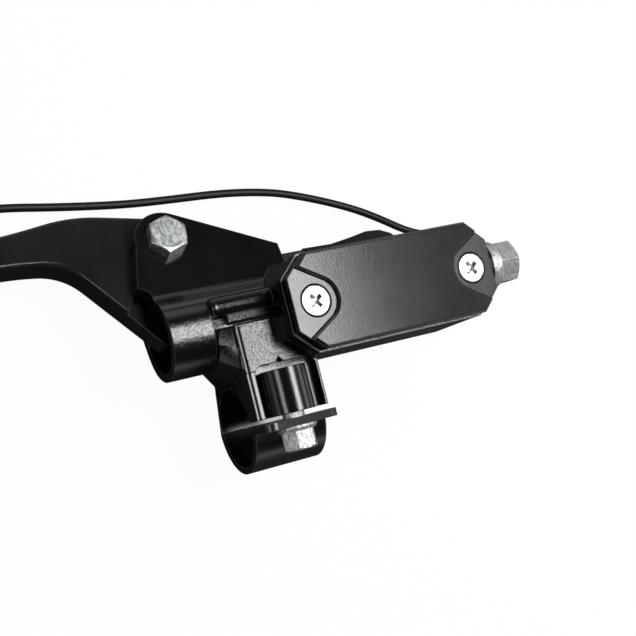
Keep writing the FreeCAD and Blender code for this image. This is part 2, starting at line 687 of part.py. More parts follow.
for side, name, screw in (("", "right", SCREW_RIGHT), ("-", "left", SCREW_LEFT)):
    flare = plate("pad_flare_" + name, [
        (side + PAD_X, "-" + PAD_Y),
        (side + FLARE_X, "-" + FLARE_Y),
        (side + FLARE_X, FLARE_Y),
        (side + PAD_X, PAD_Y)], "lid_step + 1", ("reservoir_x", "cylinder_y", PAD_TOP))
    round_pad = rod("pad_round_" + name, (screw, "cylinder_y", PAD_TOP), "pad_arc_radius", "lid_step + 1")
    shank_hole = rod("lid_hole_" + name, (screw, "cylinder_y", LID_UNDER + " - 1"), "screw_radius + seated",
                     "lid_thick + 2")
    sink = cone("lid_sink_" + name, (screw, "cylinder_y", PAD_TOP + " - screw_head_height"),
                "screw_radius + seated", "screw_head_radius + seated", "screw_head_height")
    sink_top = rod("lid_sink_top_" + name, (screw, "cylinder_y", PAD_TOP), "screw_head_radius + seated", "1")
    pads += [flare, round_pad, shank_hole, sink, sink_top]
relief = rounded("lid_relief", block("lid_relief_stock", (
    "reservoir_x - cavity_length / 2", "cylinder_y - cavity_width / 2", LID_UNDER + " - 1"), "cavity_length",
    "cavity_width", "lid_step / 2 + 1"), "cavity_corner",
    lambda edge, middle: edge.BoundBox.XLength + edge.BoundBox.YLength < 0.01)
reservoir_lid = cut("reservoir_lid", lid, fuse("lid_cuts", relief, *pads))

# Diaphragm: a flat sealing rim under the lid with a shallow cup that hangs into the reservoir
seal_rim = plate("seal_rim", octagon("lid_length - 1", "lid_width - 1", "lid_chamfer_x", "lid_chamfer_y"),
                 "gasket_thick", ("reservoir_x", "cylinder_y", RIM_TOP))
seal_cup = rounded("seal_cup", block("seal_cup_stock", (
    "reservoir_x - cavity_length / 2 + 1", "cylinder_y - cavity_width / 2 + 1", RIM_TOP + " - diaphragm_depth"),
    "cavity_length - 2", "cavity_width - 2", "diaphragm_depth + gasket_thick / 2"), "cavity_corner - 1",
    lambda edge, middle: edge.BoundBox.XLength + edge.BoundBox.YLength < 0.01)
seal_hollow = rounded("seal_hollow", block("seal_hollow_stock", (
    "reservoir_x - cavity_length / 2 + 1 + diaphragm_wall", "cylinder_y - cavity_width / 2 + 1 + diaphragm_wall",
    RIM_TOP + " - diaphragm_depth + diaphragm_wall"), "cavity_length - 2 - 2 * diaphragm_wall",
    "cavity_width - 2 - 2 * diaphragm_wall", "diaphragm_depth + gasket_thick"),
    "cavity_corner - 1 - diaphragm_wall",
    lambda edge, middle: edge.BoundBox.XLength + edge.BoundBox.YLength < 0.01)
seal_hole_left = rod("seal_hole_left", (SCREW_LEFT, "cylinder_y", RIM_TOP + " - 1"), "screw_radius + 0.3",
                     "gasket_thick + 2")
seal_hole_right = rod("seal_hole_right", (SCREW_RIGHT, "cylinder_y", RIM_TOP + " - 1"), "screw_radius + 0.3",
                      "gasket_thick + 2")
reservoir_diaphragm = cut("reservoir_diaphragm", fuse("seal_forms", seal_rim, seal_cup),
                          fuse("seal_cuts", seal_hollow, seal_hole_left, seal_hole_right))


def lid_screw(name, x):
    """A countersunk screw with a cross recess."""
    blank = turned(name + "_blank", [
        ("0", "0"),
        ("0", "screw_head_radius"),
        ("screw_head_height", "screw_radius"),
        ("screw_length", "screw_radius"),
        ("screw_length", "0")], (x, "cylinder_y", PAD_TOP), "rotationy(90)")
    slots = [plate(name + "_slot_" + turn, [
        ("-cross_length / 2", "-cross_width / 2"),
        ("cross_length / 2", "-cross_width / 2"),
        ("cross_length / 2", "cross_width / 2"),
        ("-cross_length / 2", "cross_width / 2")], "cross_depth + 1",
        (x, "cylinder_y", PAD_TOP + " - cross_depth"), "rotationz(%s)" % turn) for turn in ("35", "125")]
    return cut(name, blank, fuse(name + "_cross", *slots))


lid_screws = group("lid_screws", lid_screw("screw_left", SCREW_LEFT), lid_screw("screw_right", SCREW_RIGHT))

# Pivot: hexagon bolt down through both ears, washer and nut below
pivot_head = hexagon("pivot_head", lever_at("pivot_x", "pivot_v", "ear_top_w"), "hex_flats", "hex_head",
                     IN_LEVER_PLANE + " * rotationz(18)")
PIVOT_LENGTH = "(2 * ear_thick + slot_height + pivot_washer_thick + nut_height + 1)"
pivot_shank = rod("pivot_shank", lever_at("pivot_x", "pivot_v", "ear_top_w - " + PIVOT_LENGTH), "pivot_radius",
                  PIVOT_LENGTH, IN_LEVER_PLANE)
pivot_bolt = fuse("pivot_bolt", pivot_head, pivot_shank)
pivot_washer = cut("pivot_washer",
                   rod("pivot_washer_disc", lever_at("pivot_x", "pivot_v", EAR_BOTTOM + " - pivot_washer_thick"),
                       "pivot_washer_radius", "pivot_washer_thick", IN_LEVER_PLANE),
                   rod("pivot_washer_hole", lever_at("pivot_x", "pivot_v", EAR_BOTTOM + " - 2 * pivot_washer_thick"),
                       "pivot_radius + seated", "3 * pivot_washer_thick", IN_LEVER_PLANE))
pivot_nut = cut("pivot_nut",
                hexagon("pivot_nut_blank", lever_at("pivot_x", "pivot_v", EAR_BOTTOM + " - pivot_washer_thick"),
                        "hex_flats", "nut_height", IN_LEVER_PLANE + " * rotationx(180)"),
                rod("pivot_nut_hole", lever_at("pivot_x", "pivot_v", EAR_BOTTOM + " - pivot_washer_thick - nut_height"
                                               " - 1"), "pivot_radius + seated", "nut_height + 2", IN_LEVER_PLANE))

# Clamp strap: a thin half ring with two flat ears
ring_outer = rod("ring_outer", ("-clamp_width / 2", "0", "0"), "bar_radius + strap_wall", "clamp_width", ALONG_X)
ring_half = block("ring_half", ("-clamp_width / 2", "-bar_radius - 2 * strap_wall", "-bar_radius - 2 * strap_wall"),
                  "clamp_width", "bar_radius + 2 * strap_wall - split_gap / 2", "2 * bar_radius + 4 * strap_wall")
ring_bore = rod("ring_bore", ("-clamp_width", "0", "0"), "bar_radius", "2 * clamp_width", ALONG_X)
strap_ears = []
for sign, name in (("", "upper"), ("-", "lower")):
    low = "bar_radius" if sign == "" else "-strap_ear_reach"
    left = "-clamp_width / 2" if sign == "" else "clamp_bolt_x - strap_lower_width / 2"
    width = "clamp_width + strap_ear_overhang" if sign == "" else "strap_lower_width"
    stock = block("strap_ear_stock_" + name, (left, STRAP_FACE, low), width, "strap_ear_thick",
                  "strap_ear_reach - bar_radius")
    tip = value(sign + "strap_ear_reach")
    ear = rounded("strap_ear_" + name, stock, "strap_ear_corner",
                  lambda edge, middle: edge.BoundBox.XLength + edge.BoundBox.ZLength < 0.01
                  and abs(middle.z - tip) < 0.01)
    hole = rod("strap_hole_" + name, ("clamp_bolt_x", "-bar_radius", sign + "clamp_bolt_height"),
               "clamp_bolt_radius + bolt_play", "2 * bar_radius", ALONG_Y)
    seat = rod("strap_seat_" + name, ("clamp_bolt_x", STRAP_FACE, sign + "clamp_bolt_height"),
               "flange_radius + seat_play", "bar_radius", ALONG_MINUS_Y)
    root = block("strap_root_" + name, ("-clamp_width / 2", STRAP_FACE, "bar_radius - 1.5" if sign == "" else
                                        "-bar_radius - 1.5"), "clamp_width", "strap_ear_thick", "3")
    strap_ears.append((ear, root, hole, seat))
strap_forms = fuse("strap_forms", common("half_ring", ring_outer, ring_half), strap_ears[0][0], strap_ears[0][1],
                   strap_ears[1][0], strap_ears[1][1])
clamp_strap = cut("clamp_strap", strap_forms, fuse("strap_cuts", ring_bore, *strap_ears[0][2:], *strap_ears[1][2:]))


def clamp_bolt(name, height):
    """A flange bolt driven in from the rider's side."""
    flange = turned(name + "_blank", [
        ("-flange_thick", "0"),
        ("-flange_thick", "clamp_flats / 2 + 0.8"),
        ("-flange_thick / 2", "flange_radius"),
        ("0", "flange_radius"),
        ("0", "clamp_bolt_radius"),
        ("clamp_bolt_length - 0.5", "clamp_bolt_radius"),
        ("clamp_bolt_length", "clamp_bolt_radius - 0.5"),
        ("clamp_bolt_length", "0")], ("clamp_bolt_x", STRAP_FACE, height), "rotationz(90)")
    head = hexagon(name + "_head", ("clamp_bolt_x", STRAP_FACE + " - flange_thick", height), "clamp_flats",
                   "clamp_head", ALONG_MINUS_Y)
    return fuse(name, flange, head)


clamp_bolts = group("clamp_bolts", clamp_bolt("bolt_upper", "clamp_bolt_height"),
                    clamp_bolt("bolt_lower", "-clamp_bolt_height"))

# Outlet: plug bolt with a collar, and its sealing washer
outlet_washer = turned("outlet_washer", [
    ("outlet_x", "outlet_thread_radius + seated"),
    ("outlet_x", "outlet_washer_radius"),
    ("outlet_x + outlet_washer_thick", "outlet_washer_radius"),
    ("outlet_x + outlet_washer_thick", "outlet_thread_radius + seated")], OUTLET_AXIS)
OUTLET_SEAT = "(outlet_x + outlet_washer_thick)"
outlet_blank = turned("outlet_blank", [
    (OUTLET_SEAT + " - outlet_thread_depth", "0"),
    (OUTLET_SEAT + " - outlet_thread_depth", "outlet_thread_radius - seated"),
    (OUTLET_SEAT, "outlet_thread_radius - seated"),
    (OUTLET_SEAT, "outlet_collar_radius"),
    (OUTLET_SEAT + " + outlet_collar", "outlet_collar_radius"),
    (OUTLET_SEAT + " + outlet_collar", "0")], OUTLET_AXIS)
outlet_hex = hexagon("outlet_hex", (OUTLET_SEAT + " + outlet_collar", *OUTLET_AXIS[1:]), "outlet_flats",
                     "outlet_head", ALONG_X)
outlet_bolt = fuse("outlet_bolt", outlet_blank, outlet_hex)

# Pieces in the bore, from the open end inwards
ROD_END = "(nose_x + nose_radius + push_gap)"
HEAD_X = "(mouth_floor_x + piston_length)"
piston = turned("piston", [
    (ROD_END, "0"),
    (ROD_END, "rod_radius - 0.5"),
    (ROD_END + " + 0.5", "rod_radius"),
    ("mouth_floor_x", "rod_radius"),
    ("mouth_floor_x", "bore_radius - running"),
    ("mouth_floor_x + piston_land", "bore_radius - running"),
    ("mouth_floor_x + piston_land", "piston_waist_radius"),
    ("mouth_floor_x + piston_land + secondary_groove", "piston_waist_radius"),
    ("mouth_floor_x + piston_land + secondary_groove", "bore_radius - running"),
    ("mouth_floor_x + 2 * piston_land + secondary_groove", "bore_radius - running"),
    ("mouth_floor_x + 2 * piston_land + secondary_groove", "piston_waist_radius"),
    (HEAD_X + " - piston_land", "piston_waist_radius"),
    (HEAD_X + " - piston_land", "bore_radius - running"),
    (HEAD_X, "bore_radius - running"),
    (HEAD_X, "0")], AXIS)
secondary_cup = turned("secondary_cup", [
    ("mouth_floor_x + piston_land", "piston_waist_radius + seated"),
    ("mouth_floor_x + piston_land", "bore_radius - cup_wall / 2"),
    ("mouth_floor_x + piston_land + secondary_groove - 0.3", "bore_radius - running"),
    ("mouth_floor_x + piston_land + secondary_groove - 0.3", "bore_radius - running - cup_wall"),
    ("mouth_floor_x + piston_land + secondary_groove / 2", "piston_waist_radius + seated + cup_wall"),
    ("mouth_floor_x + piston_land + secondary_groove / 2", "piston_waist_radius + seated")], AXIS)
CUP_FLOOR = "(mouth_floor_x + piston_length + cup_wall * 1.5)"
primary_cup = turned("primary_cup", [
    (HEAD_X, "0"),
    (HEAD_X, "bore_radius - cup_wall / 2"),
    (HEAD_X + " + cup_length", "bore_radius - running"),
    (HEAD_X + " + cup_length", "bore_radius - running - cup_wall"),
    (CUP_FLOOR, "bore_radius - running - cup_wall"),
    (CUP_FLOOR, "0")], AXIS)
stop_washer = turned("stop_washer", [
    ("mouth_floor_x - stop_washer_thick", "rod_radius + 0.5"),
    ("mouth_floor_x - stop_washer_thick", "mouth_radius - seated"),
    ("mouth_floor_x", "mouth_radius - seated"),
    ("mouth_floor_x", "rod_radius + 0.5")], AXIS)
circlip_ring = turned("circlip_ring", [
    ("circlip_x + clip_play / 2", "mouth_radius + groove_depth - seated - circlip_width"),
    ("circlip_x + clip_play / 2", "mouth_radius + groove_depth - seated"),
    ("circlip_x + clip_play / 2 + circlip_thick", "mouth_radius + groove_depth - seated"),
    ("circlip_x + clip_play / 2 + circlip_thick", "mouth_radius + groove_depth - seated - circlip_width")], AXIS)
circlip_opening = plate("circlip_opening", [
    ("0", "0"),
    ("2 * mouth_radius * cos(circlip_gap_angle / 2 * 1 deg)",
     "2 * mouth_radius * sin(circlip_gap_angle / 2 * 1 deg)"),
    ("2 * mouth_radius * cos(circlip_gap_angle / 2 * 1 deg)",
     "-2 * mouth_radius * sin(circlip_gap_angle / 2 * 1 deg)")], "3 * circlip_thick",
    ("circlip_x - circlip_thick", "cylinder_y", "cylinder_z"), "", "YZ_Plane")
circlip = cut("circlip", circlip_ring, circlip_opening)
dust_seal = turned("dust_seal", [
    ("circlip_x - dust_seal_length", "rod_radius + running"),
    ("circlip_x - dust_seal_length", "rod_radius + 1.2"),
    ("circlip_x - dust_seal_length / 2", "mouth_radius - 1"),
    ("circlip_x - dust_seal_length / 2", "mouth_radius - seated"),
    ("circlip_x - clip_play", "mouth_radius - seated"),
    ("circlip_x - clip_play", "rod_radius + 1.2"),
    ("circlip_x - dust_seal_length / 2", "rod_radius + running")], AXIS)

SPRING_LENGTH = "(bore_end_x - mouth_floor_x - piston_length - cup_wall * 1.5 - 2 * spring_wire_radius)"
spring_path = doc.addObject("Part::Helix", "spring_path")
bind(spring_path, Radius="spring_radius", Height=SPRING_LENGTH, Pitch=SPRING_LENGTH + " / spring_turns")
place(spring_path, (CUP_FLOOR + " + spring_wire_radius", "cylinder_y", "cylinder_z"), ALONG_X)
wire_section = doc.addObject("Part::RegularPolygon", "wire_section")
wire_section.Polygon = 6
bind(wire_section, Circumradius="spring_wire_radius")
place(wire_section, (CUP_FLOOR + " + spring_wire_radius", "cylinder_y", "cylinder_z - spring_radius"),
      "rotationx(90)")
return_spring = doc.addObject("Part::Sweep", "return_spring")
return_spring.Sections = [wire_section]
return_spring.Spine = spring_path
return_spring.Solid = True
return_spring.Frenet = True

# Brake-light switch: threaded into the web behind the slot, its plunger against the lever's heel
HEEL_FACE = "(pivot_x + heel_x + sqrt(heel_radius^2 - (heel_v + switch_drop)^2))"
PLUNGER_TIP = "(%s + push_gap)" % HEEL_FACE
switch_plunger = turned("switch_plunger", [
    (PLUNGER_TIP, "0"),
    (PLUNGER_TIP, "plunger_radius - 0.4"),
    (PLUNGER_TIP + " + 0.4", "plunger_radius"),
    (PLUNGER_TIP + " + plunger_reach", "plunger_radius"),
    (PLUNGER_TIP + " + plunger_reach", "0")], SWITCH_AT, IN_LEVER_PLANE)
PLUNGER_ROOM = "(%s + plunger_reach + plunger_travel + 0.5)" % PLUNGER_TIP
SWITCH_END = "(%s + switch_collar + switch_length)" % WEB_END
switch_barrel = turned("switch_barrel", [
    ("slot_floor_x", "plunger_radius + running"),
    ("slot_floor_x", "switch_thread_radius"),
    (WEB_END, "switch_thread_radius"),
    (WEB_END, "switch_radius"),
    (SWITCH_END, "switch_radius"),
    (SWITCH_END, "0"),
    (PLUNGER_ROOM, "0"),
    (PLUNGER_ROOM, "plunger_radius + running")], SWITCH_AT, IN_LEVER_PLANE)
switch_hex = hexagon("switch_hex", lever_at(WEB_END, SWITCH_V, SWITCH_W), "2 * switch_collar_radius * cos(30 deg)",
                     "switch_collar", LEVER_ALONG_X)
switch_hex_hole = rod("switch_hex_hole", lever_at(WEB_END + " - 1", SWITCH_V, SWITCH_W), "switch_radius",
                      "switch_collar + 2", LEVER_ALONG_X)
switch_body = fuse("switch_body", switch_barrel, cut("switch_nut_ring", switch_hex, switch_hex_hole))

switch_boot = turned("switch_boot", [
    ("0", "0"),
    ("0", "switch_radius + 0.4"),
    ("boot_length * 0.3", "switch_radius + 0.2"),
    ("boot_length * 0.5", "boot_bulb_radius - 1.0"),
    ("boot_length * 0.7", "boot_bulb_radius"),
    ("boot_length * 0.84", "boot_bulb_radius - 0.3"),
    ("boot_length * 0.95", "boot_bulb_radius - 1.7"),
    ("boot_length", "boot_end_radius"),
    ("boot_length", "0")], lever_at(SWITCH_END, SWITCH_V, SWITCH_W), IN_LEVER_PLANE)


def spot(x, v):
    """A point of the lever's outline in its own plane."""
    return V(value(x), value(v), 0)


def soft_line(spots):
    """Straight runs joined by tangent arcs, each as large as its two runs allow, and the arcs' radii."""
    edges = []
    radii = []
    here = spots[0]
    for before, corner, after in zip(spots, spots[1:], spots[2:]):
        come = (corner - before).normalize()
        go = (after - corner).normalize()
        turn = math.acos(max(-1, min(1, come.dot(go))))
        trim = 0.45 * min((corner - before).Length, (after - corner).Length)
        radii.append(trim / math.tan(turn / 2))
        begin = corner - come * trim
        finish = corner + go * trim
        inward = (go - come).normalize()
        middle = corner + inward * (radii[-1] / math.cos(turn / 2) - radii[-1])
        edges.append(Part.LineSegment(here, begin).toShape())
        edges.append(Part.Arc(begin, middle, finish).toShape())
        here = finish
    edges.append(Part.LineSegment(here, spots[-1]).toShape())
    return edges, radii


# Lever: one casting with a boss on the pivot, a heel for the switch, a push lug and the blade.
# Its outline runs from the boss along the front edge, round the ball end and back along the rear edge.
pivot = spot("pivot_x", "pivot_v")
boss_top = spot("pivot_x + lever_boss_radius * sin(knuckle_angle * 1 deg)",
                "pivot_v + lever_boss_radius * cos(knuckle_angle * 1 deg)")
knuckle_front = boss_top + spot("-knuckle_run * cos(knuckle_angle * 1 deg)", "knuckle_run * sin(knuckle_angle * 1 deg)")
boss_side = spot("pivot_x + lever_boss_radius * cos(10 deg)", "pivot_v + lever_boss_radius * sin(10 deg)")
boss_low = spot("pivot_x + lever_boss_radius * cos(40 deg)", "pivot_v - lever_boss_radius * sin(40 deg)")
heel_top = spot("pivot_x + heel_x + heel_radius * cos(20 deg)", "pivot_v + heel_v + heel_radius * sin(20 deg)")
heel_side = spot("pivot_x + heel_x + heel_radius * cos(25 deg)", "pivot_v + heel_v - heel_radius * sin(25 deg)")
heel_low = spot("pivot_x + heel_x", "pivot_v + heel_v - heel_radius")
lug_root = spot("nose_x + nose_radius - push_gap", "pivot_v + heel_v - heel_radius - 3")
lug_face = spot("nose_x + nose_radius * cos(25 deg)", "nose_v + nose_radius * sin(25 deg)")
nose_low = spot("nose_x", "nose_v - nose_radius")
nose_rear = spot("nose_x - nose_radius * cos(33 deg)", "nose_v - nose_radius * sin(33 deg)")
front = [boss_top,
         knuckle_front,
         spot("neck_front_x", "neck_station_v + blade_width / 2 + 0.6"),
         spot("mid_station_x", "mid_station_v + blade_width / 2 - 0.2"),
         spot("tip_station_x", "tip_station_v + blade_width / 2"),
         spot("ball_x + ball_radius * 0.8", "ball_v + ball_radius * 0.6")]
rear = [spot("ball_x + ball_radius * 0.8", "ball_v - ball_radius * 0.6"),
        spot("tip_station_x", "tip_station_v - blade_width / 2"),
        spot("mid_station_x", "mid_station_v - blade_width / 2"),
        spot("neck_station_x", "neck_station_v - blade_width / 2"),
        spot("knuckle_x", "knuckle_v"),
        nose_rear]
ball_far = spot("ball_x - ball_radius", "ball_v")
edges = [Part.Arc(boss_low, boss_side, boss_top).toShape(),
         *soft_line(front)[0],
         Part.Arc(front[-1], ball_far, rear[0]).toShape(),
         *soft_line(rear)[0],
         Part.Arc(nose_rear, nose_low, lug_face).toShape(),
         Part.makeLine(lug_face, lug_root),
         Part.makeLine(lug_root, heel_low),
         Part.Arc(heel_low, heel_side, heel_top).toShape(),
         Part.makeLine(heel_top, boss_low)]
plan = Part.Face(Part.Wire(edges))
lever_blank = plan.extrude(V(0, 0, value("lever_thick")))
lever_hole = Part.makeCylinder(value("pivot_radius + running"), value("lever_thick") + 2, pivot - V(0, 0, 1))
rim_edges = [edge for edge in lever_blank.Edges if edge.BoundBox.ZLength < 0.001]
brake_lever = doc.addObject("Part::Feature", "brake_lever")
step_in = spot("lug_step_x", "lug_step_v")
step_out = step_in + V(lug_step_x - nose_x, 1.45 * (lug_step_x - nose_x), 0)
lug_side = spot("nose_x + 2 * nose_radius", "lug_step_v - 3")
lug_deep = spot("nose_x + 2 * nose_radius", "nose_v - 2 * nose_radius")
lug_far = spot("lug_step_x - 2 * nose_radius", "nose_v - 2 * nose_radius")
lug_plan = Part.Face(Part.makePolygon([step_in, lug_side, lug_deep, lug_far, step_out, step_in]))
lug_cut = lug_plan.extrude(V(0, 0, 2 * lug_step))
lug_cut.translate(V(0, 0, lever_thick - lug_step))
brake_lever.Shape = lever_blank.makeFillet(value("lever_edge_round"), rim_edges).cut(lever_hole).cut(lug_cut)
place(brake_lever, lever_at("0", "0", LEVER_LOW), IN_LEVER_PLANE)


def cord_tube(name, points):
    """A plain tube of the lead's radius along its path."""
    edges, radii = soft_line([V(*point) for point in points])
    path = Part.Wire(edges)
    start = path.Edges[0]
    ring = Part.Wire(Part.makeCircle(value("lead_radius"), start.valueAt(start.FirstParameter),
                                     start.tangentAt(start.FirstParameter)))
    tube = doc.addObject("Part::Feature", name)
    tube.Shape = path.makePipeShell([ring], True, True)
    full = math.pi * value("lead_radius") ** 2 * path.Length
    print(name, "length", round(path.Length, 1), "volume over section times length", tube.Shape.Volume / full)
    print(name, "radii", [round(radius, 1) for radius in radii])
    return tube


# Lead of the switch: out of the boot, down and back under the reservoir, then past the lever's pivot to the left
exit_x, exit_y, exit_z = (value(part) for part in lever_at(SWITCH_END + " + boot_length", SWITCH_V, SWITCH_W))
coil_low = coil_y - coil_radius
switch_lead = cord_tube("switch_lead", [
    (exit_x, exit_y, exit_z),
    (exit_x + 9.2, exit_y, exit_z),
    (exit_x + 18.8, exit_y + 0.6, exit_z - 0.2),
    (exit_x + 24.2, exit_y + 1.6, exit_z - 8.9),
    (exit_x + 19.0, exit_y + 3.0, exit_z - 17.4),
    (58, 55.5, -18), (47, 60.8, -18.4), (32.3, 66, -18.2), (22.5, 68.2, -18), (9.4, 69.7, -17.8),
    (-6.5, 70.2, -17.8), (-21.1, 70.9, -18), (-40.5, 73.2, -18.2), (-57, 75.6, -18.1),
    (coil_x + 9, coil_low - 1.0, coil_z - 0.4),
    (coil_x, coil_low - 1.2, coil_z - 0.8)])
FLAT = "(coil_section * tan(22.5 deg))"
lead_coil = turned("lead_coil", [
    ("-coil_section", "coil_radius - " + FLAT),
    ("-coil_section", "coil_radius + " + FLAT),
    ("-" + FLAT, "coil_radius + coil_section"),
    (FLAT, "coil_radius + coil_section"),
    ("coil_section", "coil_radius + " + FLAT),
    ("coil_section", "coil_radius - " + FLAT),
    (FLAT, "coil_radius - coil_section"),
    ("-" + FLAT, "coil_radius - coil_section")], ("coil_x", "coil_y", "coil_z"), "rotationy(-90)")
coil_tie = turned("coil_tie", [
    ("-tie_width / 2", "coil_section + 0.4"),
    ("-tie_width / 2", "coil_section + 0.4 + tie_thick"),
    ("tie_width / 2", "coil_section + 0.4 + tie_thick"),
    ("tie_width / 2", "coil_section + 0.4")], ("coil_x", "coil_y + coil_radius", "coil_z"))
CONNECTOR_X = "(coil_x - 2 * coil_radius)"
connector_x = value(CONNECTOR_X)
lead_tail = cord_tube("lead_tail", [
    (coil_x - 3, coil_low, coil_z + 1.0),
    (coil_x - 15, coil_low - 1.9, coil_z),
    (connector_x, coil_low - 1.9, coil_z)])
CONNECTOR_Y = "(coil_y - coil_radius - 1.9)"
connector_box = rounded("connector_box", block("connector_stock", (
    CONNECTOR_X + " - connector_length", CONNECTOR_Y + " - connector_width / 2", "coil_z - connector_height / 2"),
    "connector_length", "connector_width", "connector_height"), "connector_height / 6",
    lambda edge, middle: edge.BoundBox.XLength > 1)
sockets = []
for sign, name in (("+", "front"), ("-", "rear")):
    sockets.append(block("socket_" + name, (
        CONNECTOR_X + " - connector_length - 1",
        CONNECTOR_Y + sign + " connector_pitch / 2 - connector_pin / 2", "coil_z - connector_pin / 2"),
        "connector_length / 2 + 1", "connector_pin", "connector_pin"))
latch = plate("latch", [
    ("0", "0"),
    ("connector_length * 0.5", "0"),
    ("connector_length * 0.5", "connector_height * 0.12"),
    ("connector_length * 0.42", "connector_height * 0.25")], "connector_width / 3",
    (CONNECTOR_X + " - connector_length * 0.9", CONNECTOR_Y + " + connector_width / 6",
     "coil_z + connector_height / 2"), "", "XZ_Plane")
lead_connector = cut("lead_connector", fuse("connector_forms", connector_box, latch), fuse("sockets", *sockets))
doc.recompute()

# Written pieces
pieces = [master_cylinder_body, reservoir_lid, reservoir_diaphragm, lid_screws, brake_lever, pivot_bolt, pivot_washer,
          pivot_nut, clamp_strap, clamp_bolts, outlet_washer, outlet_bolt, piston, secondary_cup, primary_cup,
          stop_washer, circlip, dust_seal, return_spring, switch_plunger, switch_body, switch_boot, switch_lead,
          lead_coil, coil_tie, lead_tail, lead_connector]
for thing in doc.Objects:
    if "Invalid" in thing.State or "Error" in thing.State:
        raise RuntimeError("%s did not build: %s" % (thing.Label, thing.State))
for piece in pieces:
    if piece.Shape.isNull() or not piece.Shape.isValid() or not piece.Shape.Solids:
        raise RuntimeError("%s has no valid solid" % piece.Label)
os.makedirs("parts", exist_ok=True)
for piece in pieces:
    piece.Shape.exportStep("parts/%s.step" % piece.Label)
    print(piece.Label, len(piece.Shape.Solids), round(piece.Shape.Volume, 1))
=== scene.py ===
import bpy
import math
from mathutils import Matrix, Vector


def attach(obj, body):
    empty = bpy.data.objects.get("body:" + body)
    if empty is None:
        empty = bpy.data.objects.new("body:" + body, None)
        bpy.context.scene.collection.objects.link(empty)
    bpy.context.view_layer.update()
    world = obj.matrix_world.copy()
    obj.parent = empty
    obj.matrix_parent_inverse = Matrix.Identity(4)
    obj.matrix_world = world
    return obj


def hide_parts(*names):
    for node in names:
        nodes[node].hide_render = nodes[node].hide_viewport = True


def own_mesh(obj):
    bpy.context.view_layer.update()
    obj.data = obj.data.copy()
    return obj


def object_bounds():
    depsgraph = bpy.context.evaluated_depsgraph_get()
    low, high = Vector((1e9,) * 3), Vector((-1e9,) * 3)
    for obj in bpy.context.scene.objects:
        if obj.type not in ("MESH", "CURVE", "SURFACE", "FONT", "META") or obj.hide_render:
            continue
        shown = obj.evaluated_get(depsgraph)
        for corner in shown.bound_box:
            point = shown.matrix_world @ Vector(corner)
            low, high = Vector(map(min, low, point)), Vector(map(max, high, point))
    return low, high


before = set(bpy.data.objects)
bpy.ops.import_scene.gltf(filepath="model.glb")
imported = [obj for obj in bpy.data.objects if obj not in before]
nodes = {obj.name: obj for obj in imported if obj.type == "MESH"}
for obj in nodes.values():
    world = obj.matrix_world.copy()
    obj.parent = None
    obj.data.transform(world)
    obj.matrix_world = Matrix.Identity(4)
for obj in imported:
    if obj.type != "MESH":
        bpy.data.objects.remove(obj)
cad_box = [list(corner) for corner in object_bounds()]

# Camera: above and behind the left grip, looking forward and down past the lever to the reservoir.
# A short telephoto, so that the lid keeps nearly parallel edges.
eye = bpy.data.objects.new("camera", bpy.data.cameras.new("camera"))
bpy.context.scene.collection.objects.link(eye)
eye.data.sensor_width = 36
eye.data.lens = 67.92
eye.data.clip_start = 0.01
rightward = Vector((0.87557, -0.24456, 0.41661))
upward = Vector((0.19157, 0.96746, 0.16531))
backward = Vector((-0.44348, -0.06493, 0.89393))
eye_turn = Matrix((rightward, upward, backward)).transposed().to_4x4()
eye.matrix_world = Matrix.Translation((-0.13239, 0.00266, 0.31162)) @ eye_turn
bpy.context.scene.camera = eye
bpy.context.scene.view_settings.view_transform = "Standard"


# Master cylinder body: cylinder, reservoir, lever ears and clamp arm in one aluminium casting.
# Cast in a coarse mould, bored and faced, then sprayed gloss black over the grain that the mould left.
class Socket:
    """An output of a material's nodes; arithmetic on it adds Math nodes."""

    def __init__(self, tree, output):
        self.tree = tree
        self.output = output

    def node(self, kind, settings, inputs, give=0):
        """Any other node: its settings first, then values or links for its sockets; gives back one output."""
        made = self.tree.nodes.new(kind)
        for name, setting in settings.items():
            if name == "stops":
                for element, (position, shade) in zip(made.color_ramp.elements, setting):
                    element.position = position
                    element.color = (shade, shade, shade, 1)
            else:
                setattr(made, name, setting)
        for name, fed in inputs.items():
            if isinstance(fed, Socket):
                self.tree.links.new(fed.output, made.inputs[name])
            else:
                made.inputs[name].default_value = fed
        return Socket(self.tree, made.outputs[give]) if made.outputs else None

    def math(self, operation, first, second):
        return self.node("ShaderNodeMath", {"operation": operation}, {0: first, 1: second})

    def __add__(self, other):
        return self.math("ADD", self, other)

    def __sub__(self, other):
        return self.math("SUBTRACT", self, other)

    def __rsub__(self, other):
        return self.math("SUBTRACT", other, self)

    def __mul__(self, other):
        return self.math("MULTIPLY", self, other)

    def __abs__(self):
        return self.math("ABSOLUTE", self, 0)

    __radd__ = __add__
    __rmul__ = __mul__


def new_finish(name):
    """A new material and the place on its piece, in metres."""
    material = bpy.data.materials.new(name)
    material.use_nodes = True
    tree = material.node_tree
    tree.nodes.clear()
    return material, Socket(tree, tree.nodes.new("ShaderNodeTexCoord").outputs["Object"])


def x_y_z(place):
    """The place's three parts: along the handlebar, away from it and up."""
    return [place.node("ShaderNodeSeparateXYZ", {}, {0: place}, part) for part in range(3)]


def noise(place, size, detail=3.0, rough=0.55):
    """Noise from 0 to 1 with features of about the given size."""
    inputs = {"Vector": place, "Scale": 1 / size, "Detail": detail, "Roughness": rough}
    return place.node("ShaderNodeTexNoise", {}, inputs)


def ramp(value, low, high):
    """0 below low, 1 above high."""
    return value.node("ShaderNodeValToRGB", {"stops": ((low, 0), (high, 1))}, {0: value})


def tint(mask, under, over):
    """One colour under another, by a mask."""
    under, over = [colour if isinstance(colour, Socket) else (*colour, 1) for colour in (under, over)]
    return mask.node("ShaderNodeMix", {"data_type": "RGBA"}, {0: mask, 6: under, 7: over}, 2)


